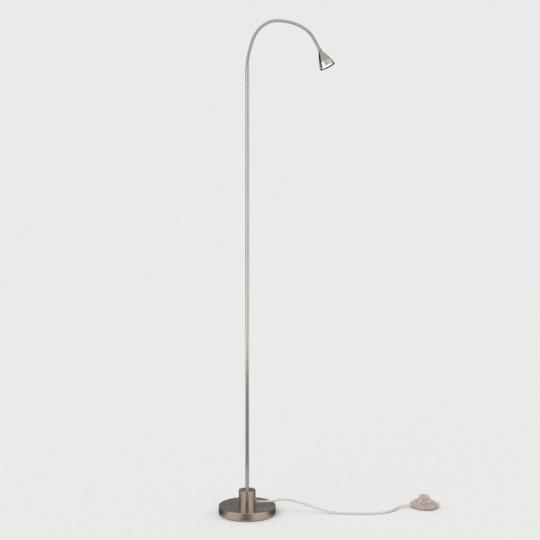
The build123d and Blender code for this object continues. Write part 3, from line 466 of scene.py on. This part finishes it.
def arm_point(frames, distance):
    """Frame at a distance in mm along the whole arm, straight beyond its ends."""
    segments = len(ARM_TURNS)
    index = min(max(int(distance // ARM_SEGMENT), 0), segments - 1)
    rest = distance - index * ARM_SEGMENT
    if 0 <= rest <= ARM_SEGMENT:
        return along_arc(frames[index], ARM_TURNS[index], rest)
    origin, across, forward = frames[0] if distance < 0 else frames[-1]
    over = distance if distance < 0 else distance - segments * ARM_SEGMENT
    return origin + forward * over * MM, across, forward


def coil_point(frames, column, along, depth):
    """Point of the winding: columns count round the turns, along runs over one turn's width."""
    angle = 2 * math.pi * column / COIL_STEPS
    pitch = ARM_SEGMENT / TURNS_PER_SEGMENT
    origin, across, _ = arm_point(frames, (column / COIL_STEPS + along) * pitch)
    out = across * math.cos(angle) + Vector((0, 1, 0)) * math.sin(angle)
    return origin + out * (ARM_R - depth) * MM


def coil_piece(name, frames, first_turn, last_turn, steel):
    """Stretch of the winding: rows of points that follow the helix, closed turn to turn."""
    count = len(COIL_PROFILE)
    start, stop = first_turn * COIL_STEPS, last_turn * COIL_STEPS
    points, places = [], {}
    for column in range(start, stop + COIL_STEPS + 1):
        for row, (along, depth) in enumerate(COIL_PROFILE if column <= stop else COIL_PROFILE[:1]):
            places[column, row] = len(points)
            points.append(coil_point(frames, column, along, depth))
    faces = []
    for column in range(start, stop):
        corners = [(column, row) for row in range(count)] + [(column + COIL_STEPS, 0)]
        for (here, row), (above, next_row) in zip(corners, corners[1:]):
            ring = [(here, row), (here + 1, row), (above + 1, next_row), (above, next_row)]
            faces.append([places[corner] for corner in ring])
    piece = mesh_object(name, points, faces, steel, smooth=True)
    return piece


def make_gooseneck(steel):
    """Winding from the lower fitting to the neck, cut at the middle of each segment."""
    frames = arm_frames()
    half = TURNS_PER_SEGMENT // 2
    ends = [half + TURNS_PER_SEGMENT * index for index in range(len(ARM_TURNS))]
    first = coil_piece("arm_winding_foot", frames, -COIL_RUN_IN, ends[0], steel)
    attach(first, "stand")
    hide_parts("arm_segment_1")
    for index in range(1, len(ARM_TURNS)):
        piece = coil_piece(f"arm_winding_{index}", frames, ends[index - 1], ends[index], steel)
        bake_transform(piece)
        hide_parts(f"arm_segment_{index + 1}")
    total = TURNS_PER_SEGMENT * len(ARM_TURNS)
    last = coil_piece("arm_winding_neck", frames, ends[-1], total + COIL_RUN_IN, steel)
    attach(last, "head")


# ---------------------------------------------------------------- return spring of the foot switch
def spring_level(turn, foot, head):
    """Height of the wire's middle after some turns. The end turns lie on one another."""
    wire_d = SPRING_WIRE_D * MM
    closed = SPRING_CLOSED * wire_d
    active = (turn - SPRING_CLOSED) / (SPRING_TURNS - 2 * SPRING_CLOSED)
    if active < 0:
        return foot + turn * wire_d
    if active > 1:
        return head - (SPRING_TURNS - turn) * wire_d
    return foot + closed + (head - foot - 2 * closed) * active


def make_spring(bronze):
    """Coil with closed end turns."""
    low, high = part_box("button_spring")
    wire_r = SPRING_WIRE_D / 2 * MM
    coil_r = SPRING_D / 2 * MM - wire_r
    middle = middle_of("switch_button")
    foot, head = low.z + wire_r, high.z - wire_r
    steps = SPRING_TURNS * SPRING_STEPS
    points = []
    for step in range(steps + 1):
        turn = step / SPRING_STEPS
        angle = 2 * math.pi * turn
        out = Vector((math.cos(angle), math.sin(angle), 0.0))
        centre = Vector((middle.x, middle.y, spring_level(turn, foot, head))) + out * coil_r
        for side in range(WIRE_SIDES):
            around = 2 * math.pi * side / WIRE_SIDES
            points.append(centre + (out * math.cos(around) + UP * math.sin(around)) * wire_r)
    last = steps * WIRE_SIDES
    faces = [tuple(range(WIRE_SIDES))[::-1], tuple(range(last, last + WIRE_SIDES))]
    for step in range(steps):
        here, after = step * WIRE_SIDES, (step + 1) * WIRE_SIDES
        for side in range(WIRE_SIDES):
            beside = (side + 1) % WIRE_SIDES
            faces.append((here + side, here + beside, after + beside, after + side))
    spring = mesh_object("return_spring", points, faces, bronze, smooth=True)
    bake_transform(spring)
    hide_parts("button_spring")
    return spring


# ---------------------------------------------------------------- cord
def make_cord(sheath, spring):
    """Cord from the hub to the foot switch. The spring that it is given is not used."""
    curve = bpy.data.curves.new("cord_line", "CURVE")
    curve.dimensions = "3D"
    curve.resolution_u = 12
    curve.bevel_depth = CORD_D / 2 * MM
    curve.bevel_resolution = 6
    curve.use_fill_caps = True
    spline = curve.splines.new("NURBS")
    spline.points.add(len(CORD_ROUTE) - 1)
    for point, place in zip(spline.points, CORD_ROUTE):
        point.co = (*(part * MM for part in place), 1.0)
    spline.order_u = 3
    spline.use_endpoint_u = True
    curve.materials.append(sheath)
    cord = link_object("floor_cord", curve)
    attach(cord, "stand")
    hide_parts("cord")


# ---------------------------------------------------------------- camera, floor and light
def make_camera():
    """The photo's level camera."""
    data = bpy.data.cameras.new("photo_camera")
    data.lens = CAMERA_LENS
    data.sensor_width = CAMERA_SENSOR
    data.clip_start, data.clip_end = CAMERA_CLIP
    camera = link_object("photo_camera", data)
    camera.location = CAMERA_PLACE
    camera.rotation_euler = (math.radians(90.0), 0.0, 0.0)
    bpy.context.scene.camera = camera


def make_floor():
    """Pale matt floor without gloss, so that it doesn't mirror the cards."""
    m = Nodes("pale_floor", (0.82, 0.82, 0.81), 0.9)
    m.set("Specular IOR Level", 0.0)
    m.tint(m.noise(scale=40.0, detail=2.0), (0.3, (0.81, 0.81, 0.80)), (0.7, (0.83, 0.83, 0.82)))
    reach = FLOOR_REACH
    corners = [(-reach, -reach, 0), (reach, -reach, 0), (reach, reach, 0), (-reach, reach, 0)]
    mesh_object("floor", corners, [(0, 1, 2, 3)], m.material)


def make_world():
    """An even world. What is seen of it has one tone, and what lights the object another."""
    world = bpy.data.worlds.new("studio")
    bpy.context.scene.world = world
    world.use_nodes = True
    tree = world.node_tree
    seen = tree.nodes["Background"]
    seen.inputs["Color"].default_value = (WORLD_SEEN, WORLD_SEEN, WORLD_SEEN, 1.0)
    seen.inputs["Strength"].default_value = 1.0
    fill = tree.nodes.new("ShaderNodeBackground")
    fill.inputs["Color"].default_value = (1.0, 1.0, 1.0, 1.0)
    fill.inputs["Strength"].default_value = WORLD_FILL
    rays = tree.nodes.new("ShaderNodeLightPath").outputs
    direct = math_node(tree, "ADD", rays["Is Camera Ray"], rays["Is Glossy Ray"])
    any_seen = math_node(tree, "ADD", direct, rays["Is Transmission Ray"], clamp=True)
    mix = tree.nodes.new("ShaderNodeMixShader")
    tree.links.new(any_seen, mix.inputs["Fac"])
    tree.links.new(fill.outputs[0], mix.inputs[1])
    tree.links.new(seen.outputs[0], mix.inputs[2])
    tree.links.new(mix.outputs[0], tree.nodes["World Output"].inputs["Surface"])


def add_light(name, data, place, target):
    """Lamp at a place that points at a target and isn't seen itself."""
    light = link_object(name, data)
    light.location = place
    aim = Vector(target) - Vector(place)
    light.rotation_euler = aim.to_track_quat("-Z", "Y").to_euler()
    light.visible_camera = False
    return light


def softbox(name, azimuth):
    """Tall panel beside the object, seen only as a reflection in gloss and metal."""
    data = bpy.data.lights.new(name, "AREA")
    data.shape = "RECTANGLE"
    data.size, data.size_y = SOFTBOX_W, SOFTBOX_H
    data.energy = SOFTBOX_RADIANCE * math.pi * SOFTBOX_W * SOFTBOX_H
    place = around_object(STUDIO_R, azimuth, SOFTBOX_LEVEL)
    light = add_light(name, data, place, (0.0, 0.0, SOFTBOX_LEVEL))
    light.visible_diffuse = False


def make_light():
    """Soft sun that lights the object, and two softboxes for its metal."""
    sun = bpy.data.lights.new("key_light", "SUN")
    sun.energy = SUN_STRENGTH
    sun.angle = math.radians(SUN_SPREAD)
    key = add_light("key_light", sun, SUN_PLACE, (0.0, 0.0, 0.0))
    key.visible_glossy = False
    softbox("softbox_left", -55.0)
    softbox("softbox_right", 57.0)


# ---------------------------------------------------------------- cards that the metal reflects
def arc_points(radius, low, high, level, steps=24):
    """Points round the object at a level, between two azimuths."""
    return [around_object(radius, low + (high - low) * step / steps, level) for step in range(steps + 1)]


def add_card(name, edge, other_edge, material):
    """Card between two rows of points, seen only as a reflection."""
    count = len(edge)
    faces = [(i, i + 1, count + i + 1, count + i) for i in range(count - 1)]
    card = mesh_object(name, edge + other_edge, faces, material)
    card.visible_camera = False
    card.visible_diffuse = False
    card.visible_transmission = False
    card.visible_shadow = False


def card_material(name, tone):
    """Matt card without gloss, in one grey that varies faintly."""
    m = Nodes(name, (tone, tone, tone), 0.9)
    m.set("Specular IOR Level", 0.0)
    m.shade(m.noise(scale=2.0, detail=4.0), (tone, tone, tone), 0.9)
    return m.material


def graded_card():
    """Card round the foot whose tone changes softly with the direction."""
    m = Nodes("card_graded", (0.5, 0.5, 0.5), 0.9)
    m.set("Specular IOR Level", 0.0)
    split = m.tree.nodes.new("ShaderNodeSeparateXYZ")
    m.link(m.place, split.inputs["Vector"])
    towards_camera = math_node(m.tree, "MULTIPLY", split.outputs["Y"], -1.0)
    azimuth = math_node(m.tree, "ARCTAN2", split.outputs["X"], towards_camera)
    away = m.between(math_node(m.tree, "ABSOLUTE", azimuth), 0.0, 1.0, 0.0, math.pi)
    m.tint(away, *((angle / 180, (tone, tone, tone)) for angle, tone in RING_TONES))
    return m.material


def make_cards():
    """Grey and black cards that give the metal its darker bands: round the object and on the floor."""
    cards = {name: card_material("card_" + name, tone) for name, tone in CARD_TONES.items()}
    cards["graded"] = graded_card()
    for name, low, high, bottom, top, tone in CARD_WALLS:
        lower = arc_points(CARD_R, low, high, bottom)
        upper = arc_points(CARD_R, low, high, top)
        add_card("card_" + name, lower, upper, cards[tone])
    for name, low, high, near, far, level, tone in CARD_FLOORS:
        inner = arc_points(near, low, high, level)
        outer = arc_points(far, low, high, level)
        add_card("card_floor_" + name, inner, outer, cards[tone])


# ---------------------------------------------------------------- scene
materials = make_materials()
dress_nodes(materials)
make_camera()
make_cord(materials["clear_cord"], make_spring(materials["contact_bronze"]))
make_gooseneck(materials["wound_steel"])
make_floor()
make_world()
make_light()
make_cards()
bpy.context.scene.view_settings.view_transform = "Standard"
